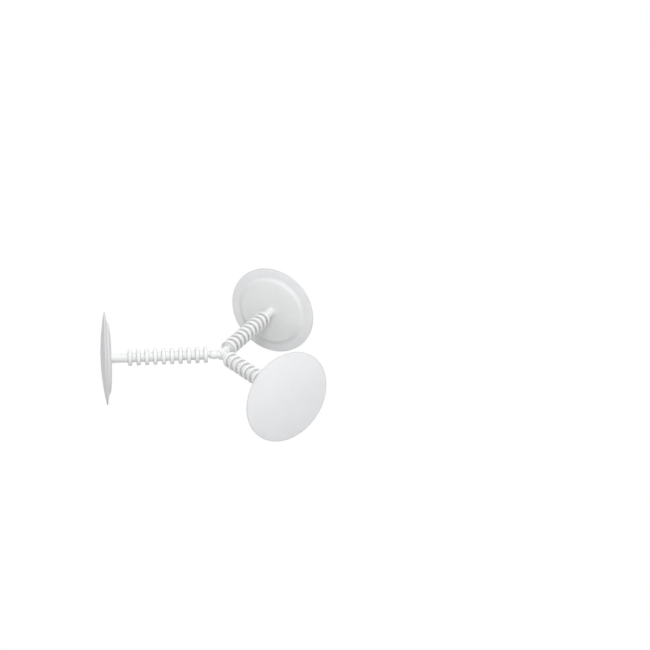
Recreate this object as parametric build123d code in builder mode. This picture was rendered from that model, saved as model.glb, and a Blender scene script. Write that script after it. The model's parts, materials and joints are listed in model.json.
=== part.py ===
from build123d import *
from math import cos, radians, sin
import os

# Three finned cover plugs, moulded nose to nose on one small break-off hub.
# The origin is the middle of the hub, +Z runs up the hub's post, and the three
# plugs lie in the XY plane with their caps upright. Sizes are in millimetres.

# Azimuth of each plug's axis, in degrees from +X
plugs = {"left": 180, "rear": 60, "front": -60}

# Cap: the shallow domed disc that covers the hole
cap_diameter = 32.0
dome_height = 1.69
rim_thickness = 0.3
rim_round = 0.13
flange_rise = 0.45  # climb of the cap's back, from its rim in to the seat

# Seat: the raised pad on the cap's back, with a flat land that bears on the panel
seat_land_diameter = 8.0
seat_fall = 0.58  # drop of the pad, from the land out to its edge
seat_edge_diameter = 23.2
seat_edge_round = 0.3
seat_foot_slope = 11  # degrees from the land, where the hollow wall meets the cap
seat_wall_height = 0.73
seat_base_diameter = 26.4

# Shank: a plain core with ring fins that bite the wall of the hole
core_diameter = 3.2
plain_length = 6.295  # seat land to the middle of the nearest fin
fin_diameter = 5.6
fin_count = 10
fin_pitch = 2.88
fin_root_width = 1.45
fin_crest_width = 1.3
fin_crest_round = 0.4
fin_root_round = 0.18

# Nose: the lead-in bead in front of the first fin
neck_diameter = 1.8
neck_length = 0.28
bead_diameter = 3.2
bead_length = 2.9
bead_peak = 1.1  # break face to the bead's widest place
break_diameter = 2.7

# Hub: an upright post with one gate to each nose
hub_diameter = 2.4
hub_height = 3.4
hub_edge_round = 0.25
gate_length = 0.45
gate_root_diameter = 3.0

# Stations along a plug's axis, measured out from the hub's axis
break_station = hub_diameter / 2 + gate_length
neck_station = break_station + bead_length
shank_station = neck_station + neck_length
first_fin_station = shank_station + fin_root_width / 2
last_fin_station = first_fin_station + (fin_count - 1) * fin_pitch
seat_land_station = last_fin_station + plain_length
seat_edge_station = seat_land_station + seat_fall
seat_base_station = seat_edge_station + seat_wall_height
rim_station = seat_base_station + flange_rise
dome_station = rim_station + rim_thickness
apex_station = dome_station + dome_height


def plug_plane(azimuth):
    """The upright plane through a plug's axis: x runs out along the plug, y is up."""
    angle = radians(azimuth)
    out_along_plug = (cos(angle), sin(angle), 0)
    return Plane((0, 0, 0), x_dir=out_along_plug, z_dir=(sin(angle), -cos(angle), 0))


def plug_axis(azimuth):
    """The axis that a plug's round shapes turn about."""
    return Axis((0, 0, 0), plug_plane(azimuth).x_dir)


def finish(piece, name):
    piece.label = name
    export_step(piece, f"parts/{name}.step")


def make_hub():
    with BuildPart() as hub:
        with BuildSketch(Plane.XY.offset(-hub_height / 2)):
            Circle(hub_diameter / 2)
        extrude(amount=hub_height)
        fillet(hub.edges().filter_by(GeomType.CIRCLE), radius=hub_edge_round)
        for azimuth in plugs.values():
            with BuildSketch(plug_plane(azimuth)):
                with BuildLine():
                    Polyline(
                        (0, 0),
                        (0, gate_root_diameter / 2),
                        (break_station, break_diameter / 2),
                        (break_station, 0),
                        close=True,
                    )
                make_face()
            revolve(axis=plug_axis(azimuth))
    finish(hub.part, "hub")


def make_nose(name, azimuth):
    break_edge = (break_station, break_diameter / 2)
    peak = (break_station + bead_peak, bead_diameter / 2)
    neck_start = (neck_station, neck_diameter / 2)
    neck_end = (shank_station, neck_diameter / 2)
    with BuildPart() as nose:
        with BuildSketch(plug_plane(azimuth)):
            with BuildLine():
                Line((break_station, 0), break_edge)
                TangentArc(peak, break_edge, tangent=(-1, 0))
                TangentArc(peak, neck_start, tangent=(1, 0))
                Polyline(neck_start, neck_end, (shank_station, 0), (break_station, 0))
            make_face()
        revolve(axis=plug_axis(azimuth))
    finish(nose.part, f"{name}_nose")


def make_shank(name, azimuth):
    core_radius = core_diameter / 2
    fin_radius = fin_diameter / 2
    with BuildPart() as shank:
        with BuildSketch(plug_plane(azimuth)) as profile:
            with BuildLine():
                Polyline(
                    (shank_station, 0),
                    (shank_station, core_radius),
                    (seat_base_station, core_radius),
                    (seat_base_station, 0),
                    close=True,
                )
            make_face()
            for number in range(fin_count):
                middle = first_fin_station + number * fin_pitch
                with BuildLine():
                    Polyline(
                        (middle - fin_root_width / 2, 0),
                        (middle - fin_root_width / 2, core_radius),
                        (middle - fin_crest_width / 2, fin_radius),
                        (middle + fin_crest_width / 2, fin_radius),
                        (middle + fin_root_width / 2, core_radius),
                        (middle + fin_root_width / 2, 0),
                        close=True,
                    )
                make_face()
            fillet(profile.vertices().group_by(Axis.Y)[-1], radius=fin_crest_round)
            # the first and last corners on the core are its two ends
            fin_roots = profile.vertices().group_by(Axis.Y)[1].sort_by(Axis.X)[1:-1]
            fillet(fin_roots, radius=fin_root_round)
        revolve(axis=plug_axis(azimuth))
    finish(shank.part, f"{name}_shank")


def make_seat(name, azimuth):
    core_radius = core_diameter / 2
    land_edge = (seat_land_station, seat_land_diameter / 2)
    pad_edge = (seat_edge_station, seat_edge_diameter / 2)
    base_edge = (seat_base_station, seat_base_diameter / 2)
    base_bore = (seat_base_station, core_radius)
    land_bore = (seat_land_station, core_radius)
    slope = radians(seat_foot_slope)
    with BuildPart() as seat:
        with BuildSketch(plug_plane(azimuth)) as profile:
            with BuildLine():
                TangentArc(land_edge, pad_edge, tangent=(0, 1))
                TangentArc(base_edge, pad_edge, tangent=(-sin(slope), -cos(slope)))
                Polyline(base_edge, base_bore, land_bore, land_edge)
            make_face()
            pad_corner = profile.vertices().sort_by_distance(pad_edge)[0]
            fillet(pad_corner, radius=seat_edge_round)
        revolve(axis=plug_axis(azimuth))
    finish(seat.part, f"{name}_seat")


def make_cap(name, azimuth):
    apex = (apex_station, 0)
    dome_edge = (dome_station, cap_diameter / 2)
    back_edge = (rim_station, cap_diameter / 2)
    seat_edge = (seat_base_station, seat_base_diameter / 2)
    with BuildPart() as cap:
        with BuildSketch(plug_plane(azimuth)) as profile:
            with BuildLine():
                TangentArc(apex, dome_edge, tangent=(0, 1))
                Polyline(dome_edge, back_edge, seat_edge, (seat_base_station, 0), apex)
            make_face()
            rim_corners = profile.vertices().group_by(Axis.Y)[-1]
            fillet(rim_corners, radius=rim_round)
        revolve(axis=plug_axis(azimuth))
    finish(cap.part, f"{name}_cap")


os.makedirs("parts", exist_ok=True)
make_hub()
for plug_name, plug_azimuth in plugs.items():
    make_nose(plug_name, plug_azimuth)
    make_shank(plug_name, plug_azimuth)
    make_seat(plug_name, plug_azimuth)
    make_cap(plug_name, plug_azimuth)
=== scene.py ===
import json
import math

import bmesh
import bpy
from mathutils import Matrix, Vector, noise


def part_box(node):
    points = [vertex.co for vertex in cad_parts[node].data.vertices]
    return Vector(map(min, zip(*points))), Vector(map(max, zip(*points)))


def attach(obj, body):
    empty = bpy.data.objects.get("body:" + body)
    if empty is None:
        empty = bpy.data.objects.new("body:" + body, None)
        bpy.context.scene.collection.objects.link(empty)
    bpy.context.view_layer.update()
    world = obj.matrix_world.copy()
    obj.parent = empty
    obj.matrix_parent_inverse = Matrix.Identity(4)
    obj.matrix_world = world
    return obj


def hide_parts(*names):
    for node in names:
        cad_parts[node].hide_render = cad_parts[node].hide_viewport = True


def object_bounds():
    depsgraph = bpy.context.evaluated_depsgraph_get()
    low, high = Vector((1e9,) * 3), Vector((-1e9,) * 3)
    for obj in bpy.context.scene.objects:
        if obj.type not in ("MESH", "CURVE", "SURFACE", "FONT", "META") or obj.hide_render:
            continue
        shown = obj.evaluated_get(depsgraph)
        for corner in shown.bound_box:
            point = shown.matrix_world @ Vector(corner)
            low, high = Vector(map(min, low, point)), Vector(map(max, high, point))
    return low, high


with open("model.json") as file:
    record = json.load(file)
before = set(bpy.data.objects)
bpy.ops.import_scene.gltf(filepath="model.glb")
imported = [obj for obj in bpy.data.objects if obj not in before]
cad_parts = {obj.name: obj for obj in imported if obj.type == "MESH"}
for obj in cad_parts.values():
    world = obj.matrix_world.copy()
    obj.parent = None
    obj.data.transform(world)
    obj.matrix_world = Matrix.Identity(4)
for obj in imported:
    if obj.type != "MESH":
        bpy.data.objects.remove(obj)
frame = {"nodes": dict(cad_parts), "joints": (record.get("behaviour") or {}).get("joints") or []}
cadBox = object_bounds()
print("frame loaded,", len(frame["nodes"]), "parts")

# Pieces are turned in millimetres about the X axis, then scaled down and swung to their plug.
mm = 0.001


def sizes(node):
    # The left plug points along -X, so its boxes give stations along a plug and radii.
    low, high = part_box("left_" + node)
    return {"near": -high.x / mm, "far": -low.x / mm, "radius": high.z / mm}


capSize, seatSize = sizes("cap"), sizes("seat")
shankSize, noseSize = sizes("shank"), sizes("nose")
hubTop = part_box("hub")[1].z / mm
plugTurns = {
    joint["child"].split("_")[0]: math.atan2(joint["axis"][1], joint["axis"][0])
    for joint in frame["joints"]
}
outward = {plug: Vector((math.cos(turn), math.sin(turn), 0)) for plug, turn in plugTurns.items()}


def startOutline(station, radius):
    bm = bmesh.new()
    bm.verts.new((station, 0, radius))
    return bm


def outlineTip(bm):
    bm.verts.ensure_lookup_table()
    return bm.verts[-1]


def lineTo(bm, station, radius):
    tip = bmesh.ops.extrude_vert_indiv(bm, verts=[outlineTip(bm)])["verts"][0]
    tip.co = (station, 0, radius)


def arcTo(bm, middle, angle, steps):
    # middle is the centre's station and radius; a positive angle turns +X towards the axis
    bmesh.ops.spin(bm, geom=[outlineTip(bm)], cent=(middle[0], 0, middle[1]), axis=(0, 1, 0),
                   angle=angle, steps=steps, use_duplicate=False)


def turnOutline(bm, steps):
    bmesh.ops.spin(bm, geom=bm.verts[:] + bm.edges[:], cent=(0, 0, 0), axis=(1, 0, 0),
                   angle=math.tau, steps=steps, use_merge=True, use_duplicate=False)
    bmesh.ops.remove_doubles(bm, verts=bm.verts[:], dist=0.0005)
    bmesh.ops.recalc_face_normals(bm, faces=bm.faces[:])


def radiusOf(vert):
    return math.hypot(vert.co.y, vert.co.z)


def ringPlace(edge):
    # station and radius of an edge that runs round the axis, or None
    ends = [(vert.co.x, radiusOf(vert)) for vert in edge.verts]
    if math.dist(ends[0], ends[1]) > 0.002 or ends[0][1] < 0.01:
        return None
    return ends[0]


def roundRings(bm, offset, segments, wanted):
    rings = []
    for edge in bm.edges:
        place = ringPlace(edge)
        if place and wanted(*place):
            rings.append(edge)
    bmesh.ops.bevel(bm, geom=rings, offset=offset, offset_type="OFFSET", affect="EDGES",
                    segments=segments, profile=0.5, material=-1, clamp_overlap=True)
    # a clamped bevel ends right on the next ring
    bmesh.ops.remove_doubles(bm, verts=bm.verts[:], dist=0.001)


def near(value, target, slack=0.01):
    return abs(value - target) < slack


def storeOnVerts(bm, name, measure):
    layer = bm.verts.layers.float.new(name)
    for vert in bm.verts:
        vert[layer] = measure(vert)


crispAngle = math.radians(28)


def finishPiece(bm, name, turn, materials):
    bmesh.ops.rotate(bm, verts=bm.verts[:], cent=(0, 0, 0), matrix=Matrix.Rotation(turn, 3, "Z"))
    bmesh.ops.scale(bm, verts=bm.verts[:], vec=(mm, mm, mm))
    for face in bm.faces:
        face.smooth = True
    for edge in bm.edges:
        edge.smooth = edge.calc_face_angle(0) < crispAngle
    mesh = bpy.data.meshes.new(name)
    bm.to_mesh(mesh)
    bm.free()
    for material in materials:
        mesh.materials.append(material)
    piece = bpy.data.objects.new(name, mesh)
    bpy.context.scene.collection.objects.link(piece)
    evenShading = piece.modifiers.new("evenShading", "WEIGHTED_NORMAL")
    evenShading.keep_sharp = True
    evenShading.weight = 60
    return piece


def addNode(tree, kind, **settings):
    node = tree.nodes.new(kind)
    for key, value in settings.items():
        setattr(node, key, value)
    return node


def newGroup(name, inputs, outputs):
    group = bpy.data.node_groups.new(name, "ShaderNodeTree")
    for direction, sockets in (("INPUT", inputs), ("OUTPUT", outputs)):
        for socket, kind in sockets.items():
            group.interface.new_socket(socket, in_out=direction, socket_type="NodeSocket" + kind)
    return group, addNode(group, "NodeGroupInput"), addNode(group, "NodeGroupOutput")


def buildMouldGrain():
    # fine eroded-tool grain: a height for bump, and a mask that follows it
    group, inside, outside = newGroup("mouldGrain", {"Vector": "Vector", "Grain Size": "Float"},
                                      {"Height": "Float", "Mask": "Float"})
    scale = addNode(group, "ShaderNodeMath", operation="DIVIDE")
    scale.inputs[0].default_value = 1.0
    fine = addNode(group, "ShaderNodeTexNoise")
    fine.inputs["Detail"].default_value = 3.0
    fine.inputs["Roughness"].default_value = 0.6
    pits = addNode(group, "ShaderNodeTexVoronoi", feature="SMOOTH_F1")
    pits.inputs["Smoothness"].default_value = 0.6
    blend = addNode(group, "ShaderNodeMath", operation="MULTIPLY")
    group.links.new(inside.outputs["Grain Size"], scale.inputs[1])
    for texture in (fine, pits):
        group.links.new(inside.outputs["Vector"], texture.inputs["Vector"])
        group.links.new(scale.outputs[0], texture.inputs["Scale"])
    group.links.new(fine.outputs["Fac"], blend.inputs[0])
    group.links.new(pits.outputs["Distance"], blend.inputs[1])
    group.links.new(blend.outputs[0], outside.inputs["Height"])
    group.links.new(fine.outputs["Fac"], outside.inputs["Mask"])
    return group


def buildFlowShade():
    # slow changes of tone that the melt leaves as it fills the mould
    group, inside, outside = newGroup(
        "flowShade", {"Vector": "Vector", "Light Tone": "Color", "Dark Tone": "Color"},
        {"Color": "Color", "Mask": "Float"})
    cloud = addNode(group, "ShaderNodeTexNoise")
    cloud.inputs["Scale"].default_value = 140.0
    cloud.inputs["Detail"].default_value = 2.0
    cloud.inputs["Distortion"].default_value = 0.8
    spread = addNode(group, "ShaderNodeMapRange", interpolation_type="SMOOTHSTEP")
    spread.inputs["From Min"].default_value = 0.35
    spread.inputs["From Max"].default_value = 0.65
    mix = addNode(group, "ShaderNodeMix", data_type="RGBA")
    group.links.new(inside.outputs["Vector"], cloud.inputs["Vector"])
    group.links.new(cloud.outputs["Fac"], spread.inputs["Value"])
    group.links.new(spread.outputs["Result"], mix.inputs["Factor"])
    group.links.new(inside.outputs["Dark Tone"], mix.inputs["A"])
    group.links.new(inside.outputs["Light Tone"], mix.inputs["B"])
    group.links.new(mix.outputs["Result"], outside.inputs["Color"])
    group.links.new(spread.outputs["Result"], outside.inputs["Mask"])
    return group


def buildTurnedMarks():
    # faint rings that a turned mould insert leaves, by radius in millimetres
    group, inside, outside = newGroup("turnedMarks", {"Radius": "Float", "Spacing": "Float"},
                                      {"Height": "Float"})
    count = addNode(group, "ShaderNodeMath", operation="DIVIDE")
    uneven = addNode(group, "ShaderNodeTexNoise", noise_dimensions="1D")
    uneven.inputs["Scale"].default_value = 1.0
    uneven.inputs["Detail"].default_value = 4.0
    group.links.new(inside.outputs["Radius"], count.inputs[0])
    group.links.new(inside.outputs["Spacing"], count.inputs[1])
    group.links.new(count.outputs[0], uneven.inputs["W"])
    group.links.new(uneven.outputs["Fac"], outside.inputs["Height"])
    return group


def buildPaintedShade():
    # painted shade: a darker tone where a piece's dullness attribute marks it, standing in for the shade
    # between the fins and a dark outline round the caps' rims
    group, inside, outside = newGroup(
        "dullShade", {"Color": "Color", "Dullness": "Float", "Strength": "Float"}, {"Color": "Color"})
    amount = addNode(group, "ShaderNodeMath", operation="MULTIPLY")
    darken = addNode(group, "ShaderNodeMix", data_type="RGBA", blend_type="MULTIPLY")
    darken.inputs["B"].default_value = (0.0, 0.0, 0.0, 1)
    group.links.new(inside.outputs["Dullness"], amount.inputs[0])
    group.links.new(inside.outputs["Strength"], amount.inputs[1])
    group.links.new(amount.outputs[0], darken.inputs["Factor"])
    group.links.new(inside.outputs["Color"], darken.inputs["A"])
    group.links.new(darken.outputs["Result"], outside.inputs["Color"])
    return group


mouldGrain, flowShade = buildMouldGrain(), buildFlowShade()
turnedMarks, dullShade = buildTurnedMarks(), buildPaintedShade()

# dull is the strength of the painted shade on the fins' steep sides and round the caps' rims
plasticFinishes = {
    "capSatin": {"light": (0.81, 0.815, 0.825), "dark": (0.795, 0.8, 0.812), "rough": (0.36, 0.44),
                 "grain": 0.00022, "bump": 0.04, "depth": 0.00002, "dull": 0.15},
    "seatMatte": {"light": (0.805, 0.81, 0.81), "dark": (0.785, 0.792, 0.792), "rough": (0.42, 0.52),
                  "grain": 0.0003, "bump": 0.09, "depth": 0.00003, "marks": 0.35, "markSpacing": 0.45},
    "finSatin": {"light": (0.81, 0.812, 0.812), "dark": (0.79, 0.793, 0.793), "rough": (0.34, 0.42),
                 "grain": 0.0002, "bump": 0.05, "depth": 0.00002, "dull": 0.28},
    "snappedPlastic": {"light": (0.86, 0.86, 0.855), "dark": (0.76, 0.76, 0.755), "rough": (0.6, 0.8),
                       "grain": 0.00012, "bump": 0.5, "depth": 0.00005},
}


def makePlastic(name):
    finish = plasticFinishes[name]
    material = bpy.data.materials.new(name)
    material.use_nodes = True
    tree = material.node_tree
    shader = tree.nodes["Principled BSDF"]
    shader.inputs["IOR"].default_value = 1.5
    shader.inputs["Subsurface Weight"].default_value = 0.05
    shader.inputs["Subsurface Radius"].default_value = (1.0, 0.95, 0.9)
    shader.inputs["Subsurface Scale"].default_value = 0.0003
    place = addNode(tree, "ShaderNodeTexCoord")
    grain = addNode(tree, "ShaderNodeGroup", node_tree=mouldGrain)
    grain.inputs["Grain Size"].default_value = finish["grain"]
    shade = addNode(tree, "ShaderNodeGroup", node_tree=flowShade)
    shade.inputs["Light Tone"].default_value = (*finish["light"], 1)
    shade.inputs["Dark Tone"].default_value = (*finish["dark"], 1)
    rough = addNode(tree, "ShaderNodeMapRange")
    rough.inputs["To Min"].default_value = finish["rough"][0]
    rough.inputs["To Max"].default_value = finish["rough"][1]
    bump = addNode(tree, "ShaderNodeBump")
    bump.inputs["Strength"].default_value = finish["bump"]
    bump.inputs["Distance"].default_value = finish["depth"]
    for group in (grain, shade):
        tree.links.new(place.outputs["Object"], group.inputs["Vector"])
    tree.links.new(grain.outputs["Mask"], rough.inputs["Value"])
    tree.links.new(rough.outputs["Result"], shader.inputs["Roughness"])
    tree.links.new(grain.outputs["Height"], bump.inputs["Height"])
    tone = shade.outputs["Color"]
    # painted shade: darkens the base colour on the fins' steep sides and in a band round the caps' rims
    if "dull" in finish:
        dullness = addNode(tree, "ShaderNodeAttribute", attribute_name="dullness")
        dull = addNode(tree, "ShaderNodeGroup", node_tree=dullShade)
        dull.inputs["Strength"].default_value = finish["dull"]
        tree.links.new(dullness.outputs["Fac"], dull.inputs["Dullness"])
        tree.links.new(tone, dull.inputs["Color"])
        tone = dull.outputs["Color"]
    if "marks" in finish:
        radius = addNode(tree, "ShaderNodeAttribute", attribute_name="turnedRadius")
        marks = addNode(tree, "ShaderNodeGroup", node_tree=turnedMarks)
        marks.inputs["Spacing"].default_value = finish["markSpacing"]
        rings = addNode(tree, "ShaderNodeBump")
        rings.inputs["Strength"].default_value = finish["marks"]
        rings.inputs["Distance"].default_value = finish["depth"]
        tree.links.new(radius.outputs["Fac"], marks.inputs["Radius"])
        tree.links.new(marks.outputs["Height"], rings.inputs["Height"])
        tree.links.new(rings.outputs["Normal"], bump.inputs["Normal"])
    tree.links.new(tone, shader.inputs["Base Color"])
    tree.links.new(bump.outputs["Normal"], shader.inputs["Normal"])
    return material


plastics = {name: makePlastic(name) for name in plasticFinishes}
print("plastic made,", len(plastics), "finishes")

# dullRim is the width of the painted shade band round the cap's rim
capShape = {"rimThickness": 0.3, "rimRound": 0.13, "flangeRise": 0.45, "dullRim": 0.45, "arcSteps": 32,
            "turnSteps": 128, "materials": ["capSatin"]}


def makeCap():
    shape, rim = capShape, capSize["radius"]
    backRim = capSize["near"] + shape["flangeRise"]
    domeRim = backRim + shape["rimThickness"]
    rise = capSize["far"] - domeRim
    domeRadius = (rim ** 2 + rise ** 2) / (2 * rise)
    bm = startOutline(capSize["far"], 0)
    arcTo(bm, (capSize["far"] - domeRadius, 0), -math.asin(rim / domeRadius), shape["arcSteps"])
    lineTo(bm, backRim, rim)
    # an extra ring on the flange marks where the painted shade band at the rim begins
    shadedRimPart = shape["dullRim"] / (rim - seatSize["radius"])
    lineTo(bm, backRim - shape["flangeRise"] * shadedRimPart, rim - shape["dullRim"])
    lineTo(bm, capSize["near"], seatSize["radius"])
    lineTo(bm, capSize["near"], 0)
    turnOutline(bm, shape["turnSteps"])
    roundRings(bm, shape["rimRound"], 4, lambda station, radius: near(radius, rim))
    # painted shade: the band next to the rim is marked for a darker, shaded outline
    storeOnVerts(bm, "dullness", lambda vert: 1.0 if radiusOf(vert) > rim - shape["dullRim"] / 2 else 0.0)
    return bm


seatShape = {"landRadius": 4.0, "padFall": 0.58, "padSteps": 8, "edgeRadius": 11.6, "edgeRound": 0.3,
             "wallSlope": 38, "wallSteps": 8, "footRise": 0.22, "turnSteps": 112, "materials": ["seatMatte"]}


def makeSeat():
    # flat land round the shank, a gently falling pad, then a hollow wall out to the cap
    shape, bore, land = seatShape, shankShape["coreRadius"], seatSize["near"]
    edge, slope = land + shape["padFall"], math.radians(seatShape["wallSlope"])
    run, rise = seatSize["radius"] - shape["edgeRadius"], seatSize["far"] - edge
    bend = 2 * (slope - math.atan2(rise, run))
    hollow = math.hypot(run, rise) / (2 * math.sin(bend / 2))
    padRun = shape["edgeRadius"] - shape["landRadius"]
    padRadius = (padRun ** 2 + shape["padFall"] ** 2) / (2 * shape["padFall"])
    bm = startOutline(seatSize["far"], bore)
    lineTo(bm, seatSize["far"], seatSize["radius"])
    arcTo(bm, (edge - hollow * math.cos(slope), shape["edgeRadius"] + hollow * math.sin(slope)),
          bend, shape["wallSteps"])
    arcTo(bm, (land + padRadius, shape["landRadius"]), -math.asin(padRun / padRadius), shape["padSteps"])
    lineTo(bm, land, bore + shape["footRise"])
    arcTo(bm, (land - shape["footRise"], bore + shape["footRise"]), math.pi / 2, 4)
    lineTo(bm, seatSize["far"], bore)
    turnOutline(bm, shape["turnSteps"])
    roundRings(bm, shape["edgeRound"], 5, lambda station, radius: near(station, edge)
               and near(radius, shape["edgeRadius"]))
    storeOnVerts(bm, "turnedRadius", radiusOf)
    return bm


# dullRise and dullDrop bound the painted shade on the fins' steep sides
shankShape = {"coreRadius": 1.6, "fins": 10, "pitch": 2.88, "rootWidth": 1.45, "crestWidth": 1.3,
              "crestRound": 0.4, "rootRound": 0.2, "sharpEnds": 0.1, "dullRise": 0.15, "dullDrop": 0.3,
              "seamRise": 0.03, "seamWidth": 0.04, "turnSteps": 64, "materials": ["finSatin"]}


def makeShank():
    shape, crest, core = shankShape, shankSize["radius"], shankShape["coreRadius"]
    bm = startOutline(shankSize["near"], 0)
    lineTo(bm, shankSize["near"], core)
    for number in range(shape["fins"]):
        middle = shankSize["near"] + shape["rootWidth"] / 2 + number * shape["pitch"]
        if number:
            lineTo(bm, middle - shape["rootWidth"] / 2, core)
        lineTo(bm, middle - shape["crestWidth"] / 2, crest)
        lineTo(bm, middle + shape["crestWidth"] / 2, crest)
        lineTo(bm, middle + shape["rootWidth"] / 2, core)
    lineTo(bm, shankSize["far"], core)
    lineTo(bm, shankSize["far"], 0)
    turnOutline(bm, shape["turnSteps"])
    roundRings(bm, shape["crestRound"], 4, lambda station, radius: near(radius, crest))
    firstRoot, lastRoot = shankSize["near"] + shape["sharpEnds"], shankSize["far"] - shape["sharpEnds"]
    roundRings(bm, shape["rootRound"], 3,
               lambda station, radius: near(radius, core) and firstRoot < station < lastRoot)
    # painted shade on the fins' steep sides, where the gaps between the fins fall into shade
    shadeFrom, shadeTo = core + shape["dullRise"], crest - shape["dullDrop"]
    storeOnVerts(bm, "dullness", lambda vert: 1.0 if shadeFrom < radiusOf(vert) < shadeTo else 0.0)
    raiseSeam(bm)
    return bm


def raiseSeam(bm):
    # the mould's halves meet level with the hub, and leave a hair of flash along both sides;
    # on the crests it is scraped a hair too deep, so nothing stands out past them
    rise = shankShape["seamRise"]
    for vert in bm.verts:
        radius = radiusOf(vert)
        if radius > rise and abs(vert.co.z) < shankShape["seamWidth"] / 2:
            vert.co.y *= 1 - rise / radius if near(radius, shankSize["radius"]) else 1 + rise / radius


# tornRings are parts of the break's radius, each with its part of tornDepth
noseShape = {"breakRadius": 1.35, "neckRadius": 0.9, "neckLength": 0.28, "peak": 1.1, "arcSteps": 9,
             "turnSteps": 48, "tornDepth": 0.14, "tornReach": 0.15, "tornRadius": 1.28,
             "tornRings": ((0.2, 1.0), (0.4, 0.75), (0.58, 0.4), (0.74, 0.15), (0.88, 0.5), (1.0, 0.0)),
             "tearUneven": 0.4, "tearGrain": 3.1, "materials": ["finSatin", "snappedPlastic"]}


def makeNose():
    # the end that snaps off the gate is a shallow, uneven hollow
    shape, bead, torn = noseShape, noseSize["radius"], noseShape["tornDepth"]
    start, neck = noseSize["near"], noseSize["far"] - shape["neckLength"]
    peak = start + shape["peak"]
    bm = startOutline(start + torn, 0)
    for part, depth in shape["tornRings"]:
        lineTo(bm, start + depth * torn, part * shape["breakRadius"])
    for run, drop in ((peak - start, bead - shape["breakRadius"]), (neck - peak, bead - shape["neckRadius"])):
        arcRadius = (run ** 2 + drop ** 2) / (2 * drop)
        arcTo(bm, (peak, bead - arcRadius), math.asin(run / arcRadius), shape["arcSteps"])
    lineTo(bm, noseSize["far"], shape["neckRadius"])
    lineTo(bm, noseSize["far"], 0)
    turnOutline(bm, shape["turnSteps"])
    for vert in bm.verts:
        if vert.co.x < start + shape["tornReach"] and radiusOf(vert) < shape["tornRadius"]:
            rough = shape["tearUneven"] * torn * noise.noise(vert.co * shape["tearGrain"])
            vert.co.x = max(start, vert.co.x + rough)
    for face in bm.faces:
        if face.calc_center_median().x < start + torn and face.normal.x < -0.5:
            face.material_index = 1
    return bm


pieceMakers = {"cap": (makeCap, capShape), "seat": (makeSeat, seatShape),
               "shank": (makeShank, shankShape), "nose": (makeNose, noseShape)}
for plug, turn in plugTurns.items():
    for part, (maker, shape) in pieceMakers.items():
        materials = [plastics[finish] for finish in shape["materials"]]
        piece = finishPiece(maker(), f"{plug}{part.capitalize()}", turn, materials)
        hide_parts(f"{plug}_{part}")
        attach(piece, f"{plug}_plug")
    print(plug, "plug built")

hubShape = {"postRadius": 1.2, "gateRoot": 1.5, "voxel": 0.06, "turnSteps": 48, "feedRadius": 0.42,
            "feedRise": 0.1, "tornDepth": 0.07, "tornRadius": 1.1, "tearUneven": 0.4, "tearGrain": 3.1,
            "materials": ["finSatin", "snappedPlastic"]}


def makeHub():
    # post, the cut mark of the mould's feed on its top, and a gate to each nose
    shape = hubShape
    bm = bmesh.new()
    for radius, bottom, top in ((shape["postRadius"], -hubTop, hubTop - shape["feedRise"]),
                                (shape["feedRadius"], 0, hubTop)):
        post = bmesh.ops.create_cone(bm, cap_ends=True, segments=shape["turnSteps"], radius1=radius,
                                     radius2=radius, depth=top - bottom)
        bmesh.ops.translate(bm, verts=post["verts"], vec=(0, 0, (top + bottom) / 2))
    for turn in plugTurns.values():
        gate = bmesh.ops.create_cone(bm, cap_ends=True, segments=shape["turnSteps"],
                                     radius1=shape["gateRoot"], radius2=noseShape["breakRadius"],
                                     depth=noseSize["near"])
        bmesh.ops.rotate(bm, verts=gate["verts"], cent=(0, 0, 0), matrix=Matrix.Rotation(math.pi / 2, 3, "Y"))
        bmesh.ops.translate(bm, verts=gate["verts"], vec=(noseSize["near"] / 2, 0, 0))
        bmesh.ops.rotate(bm, verts=gate["verts"], cent=(0, 0, 0), matrix=Matrix.Rotation(turn, 3, "Z"))
    return bm


def weldMesh(bm, name):
    # one closed skin over the overlapping solids, with softened corners
    rough = finishPiece(bm, "hubRough", 0, [])
    rough.modifiers.clear()
    weld = rough.modifiers.new("weld", "REMESH")
    weld.mode = "VOXEL"
    weld.voxel_size = hubShape["voxel"] * mm
    soften = rough.modifiers.new("soften", "SMOOTH")
    soften.factor = 0.5
    soften.iterations = 3
    mesh = bpy.data.meshes.new_from_object(rough.evaluated_get(bpy.context.evaluated_depsgraph_get()))
    bpy.data.objects.remove(rough)
    mesh.name = name
    return mesh


def tearEnds(mesh):
    # gate ends and the feed mark are snapped or cut, so they lose their moulded skin
    gateEnd, torn = noseSize["near"] * mm, hubShape["tornDepth"] * mm
    tornRadius, uneven = hubShape["tornRadius"] * mm, hubShape["tearUneven"]
    for vert in mesh.vertices:
        for axis in outward.values():
            reach = vert.co.dot(axis)
            if reach > gateEnd - torn and (vert.co - axis * reach).length < tornRadius:
                bite = 1 - uneven + uneven * noise.noise(vert.co * hubShape["tearGrain"] / mm)
                vert.co -= axis * torn * bite
    for face in mesh.polygons:
        onGate = any(face.center.dot(axis) > gateEnd - 2.5 * torn and face.normal.dot(axis) > 0.8
                     for axis in outward.values())
        onFeed = face.center.z > (hubTop - 0.5 * hubShape["feedRise"]) * mm and face.normal.z > 0.5
        face.material_index = 1 if onGate or onFeed else 0
        face.use_smooth = True


hubMesh = weldMesh(makeHub(), "breakOffHub")
for finish in hubShape["materials"]:
    hubMesh.materials.append(plastics[finish])
tearEnds(hubMesh)
hub = bpy.data.objects.new("breakOffHub", hubMesh)
bpy.context.scene.collection.objects.link(hub)
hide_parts("hub")
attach(hub, "sprue")
print("hub built")

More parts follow.
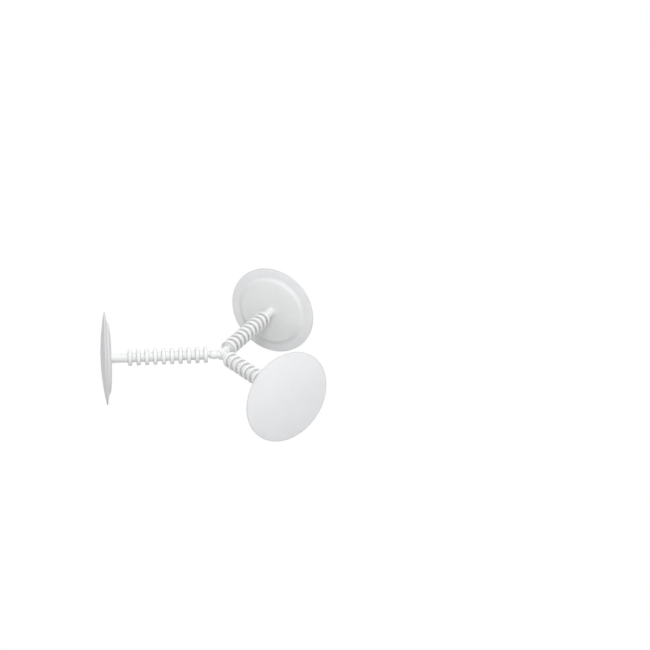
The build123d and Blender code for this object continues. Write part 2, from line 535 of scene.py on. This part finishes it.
capRadius = capSize["radius"] * mm
studio = {"floorSize": 3.0, "floorWhite": 1.0, "bounce": 0.6, "skyColor": (0.985, 0.99, 1.0), "sky": 0.43}
softboxes = {
    "key": {"toward": (0.1, -0.29, 0.6), "distance": 1.3, "size": 0.3, "power": 8.2},
    "frontFill": {"toward": (-0.15, -1.0, 0.45), "distance": 1.3, "size": 0.8, "power": 3.2},
    "leftFill": {"toward": (-0.7, -0.6, 0.35), "distance": 1.3, "size": 0.8, "power": 2.0},
    "rightFill": {"toward": (1.0, -0.15, 0.35), "distance": 1.3, "size": 0.8, "power": 2.2},
    "backFill": {"toward": (0.1, 0.8, 0.7), "distance": 1.3, "size": 0.8, "power": 4.0},
}


def makeFloor():
    bm = bmesh.new()
    bmesh.ops.create_grid(bm, x_segments=1, y_segments=1, size=studio["floorSize"] / 2)
    bmesh.ops.translate(bm, verts=bm.verts[:], vec=(0, 0, cadBox[0].z))
    mesh = bpy.data.meshes.new("paleFloor")
    bm.to_mesh(mesh)
    bm.free()
    floor = bpy.data.objects.new("paleFloor", mesh)
    bpy.context.scene.collection.objects.link(floor)
    material = bpy.data.materials.new("paleFloor")
    material.use_nodes = True
    tree = material.node_tree
    base = tree.nodes["Principled BSDF"]
    base.inputs["Base Color"].default_value = (studio["bounce"],) * 3 + (1,)
    base.inputs["Roughness"].default_value = 0.9
    glow = addNode(tree, "ShaderNodeEmission")
    glow.inputs["Strength"].default_value = studio["floorWhite"]
    path = addNode(tree, "ShaderNodeLightPath")
    choose = addNode(tree, "ShaderNodeMixShader")
    tree.links.new(path.outputs["Is Camera Ray"], choose.inputs["Fac"])
    tree.links.new(base.outputs["BSDF"], choose.inputs[1])
    tree.links.new(glow.outputs["Emission"], choose.inputs[2])
    tree.links.new(choose.outputs["Shader"], tree.nodes["Material Output"].inputs["Surface"])
    mesh.materials.append(material)


def makeSky():
    sky = bpy.data.worlds.new("softSky")
    bpy.context.scene.world = sky
    sky.use_nodes = True
    tree = sky.node_tree
    soft = tree.nodes["Background"]
    soft.inputs["Color"].default_value = (*studio["skyColor"], 1)
    soft.inputs["Strength"].default_value = studio["sky"]
    white = addNode(tree, "ShaderNodeBackground")
    path = addNode(tree, "ShaderNodeLightPath")
    choose = addNode(tree, "ShaderNodeMixShader")
    tree.links.new(path.outputs["Is Camera Ray"], choose.inputs["Fac"])
    tree.links.new(soft.outputs["Background"], choose.inputs[1])
    tree.links.new(white.outputs["Background"], choose.inputs[2])
    tree.links.new(choose.outputs["Shader"], tree.nodes["World Output"].inputs["Surface"])


def makeSoftbox(name):
    light = softboxes[name]
    toLight = Vector(light["toward"]).normalized()
    lamp = bpy.data.lights.new(name, "AREA")
    lamp.size = light["size"]
    lamp.energy = light["power"]
    box = bpy.data.objects.new(name, lamp)
    box.location = toLight * light["distance"]
    box.rotation_euler = toLight.to_track_quat("Z", "Y").to_euler()
    bpy.context.scene.collection.objects.link(box)


cameraPlace = {"turn": 5.03, "height": 25.18, "lens": 139.6, "sensor": 36.0,
               "hubRight": -2.2155, "hubDown": 0.626, "hubAhead": 54.12}  # the last three in cap radii


def makeCamera():
    turn, height = math.radians(cameraPlace["turn"]), math.radians(cameraPlace["height"])
    right = Vector((math.cos(turn), -math.sin(turn), 0))
    ahead = Vector((math.sin(turn) * math.cos(height), math.cos(turn) * math.cos(height), -math.sin(height)))
    up = right.cross(ahead)
    lens = bpy.data.cameras.new("mainCamera")
    lens.lens = cameraPlace["lens"]
    lens.sensor_width = cameraPlace["sensor"]
    camera = bpy.data.objects.new("mainCamera", lens)
    away = (right * cameraPlace["hubRight"] - up * cameraPlace["hubDown"] + ahead * cameraPlace["hubAhead"])
    turned = Matrix((right, up, -ahead)).transposed().to_4x4()
    camera.matrix_world = Matrix.Translation(-away * capRadius) @ turned
    bpy.context.scene.collection.objects.link(camera)
    bpy.context.scene.camera = camera


makeFloor()
makeSky()
for softbox in softboxes:
    makeSoftbox(softbox)
makeCamera()
bpy.context.scene.view_settings.view_transform = "Standard"
print("studio set")
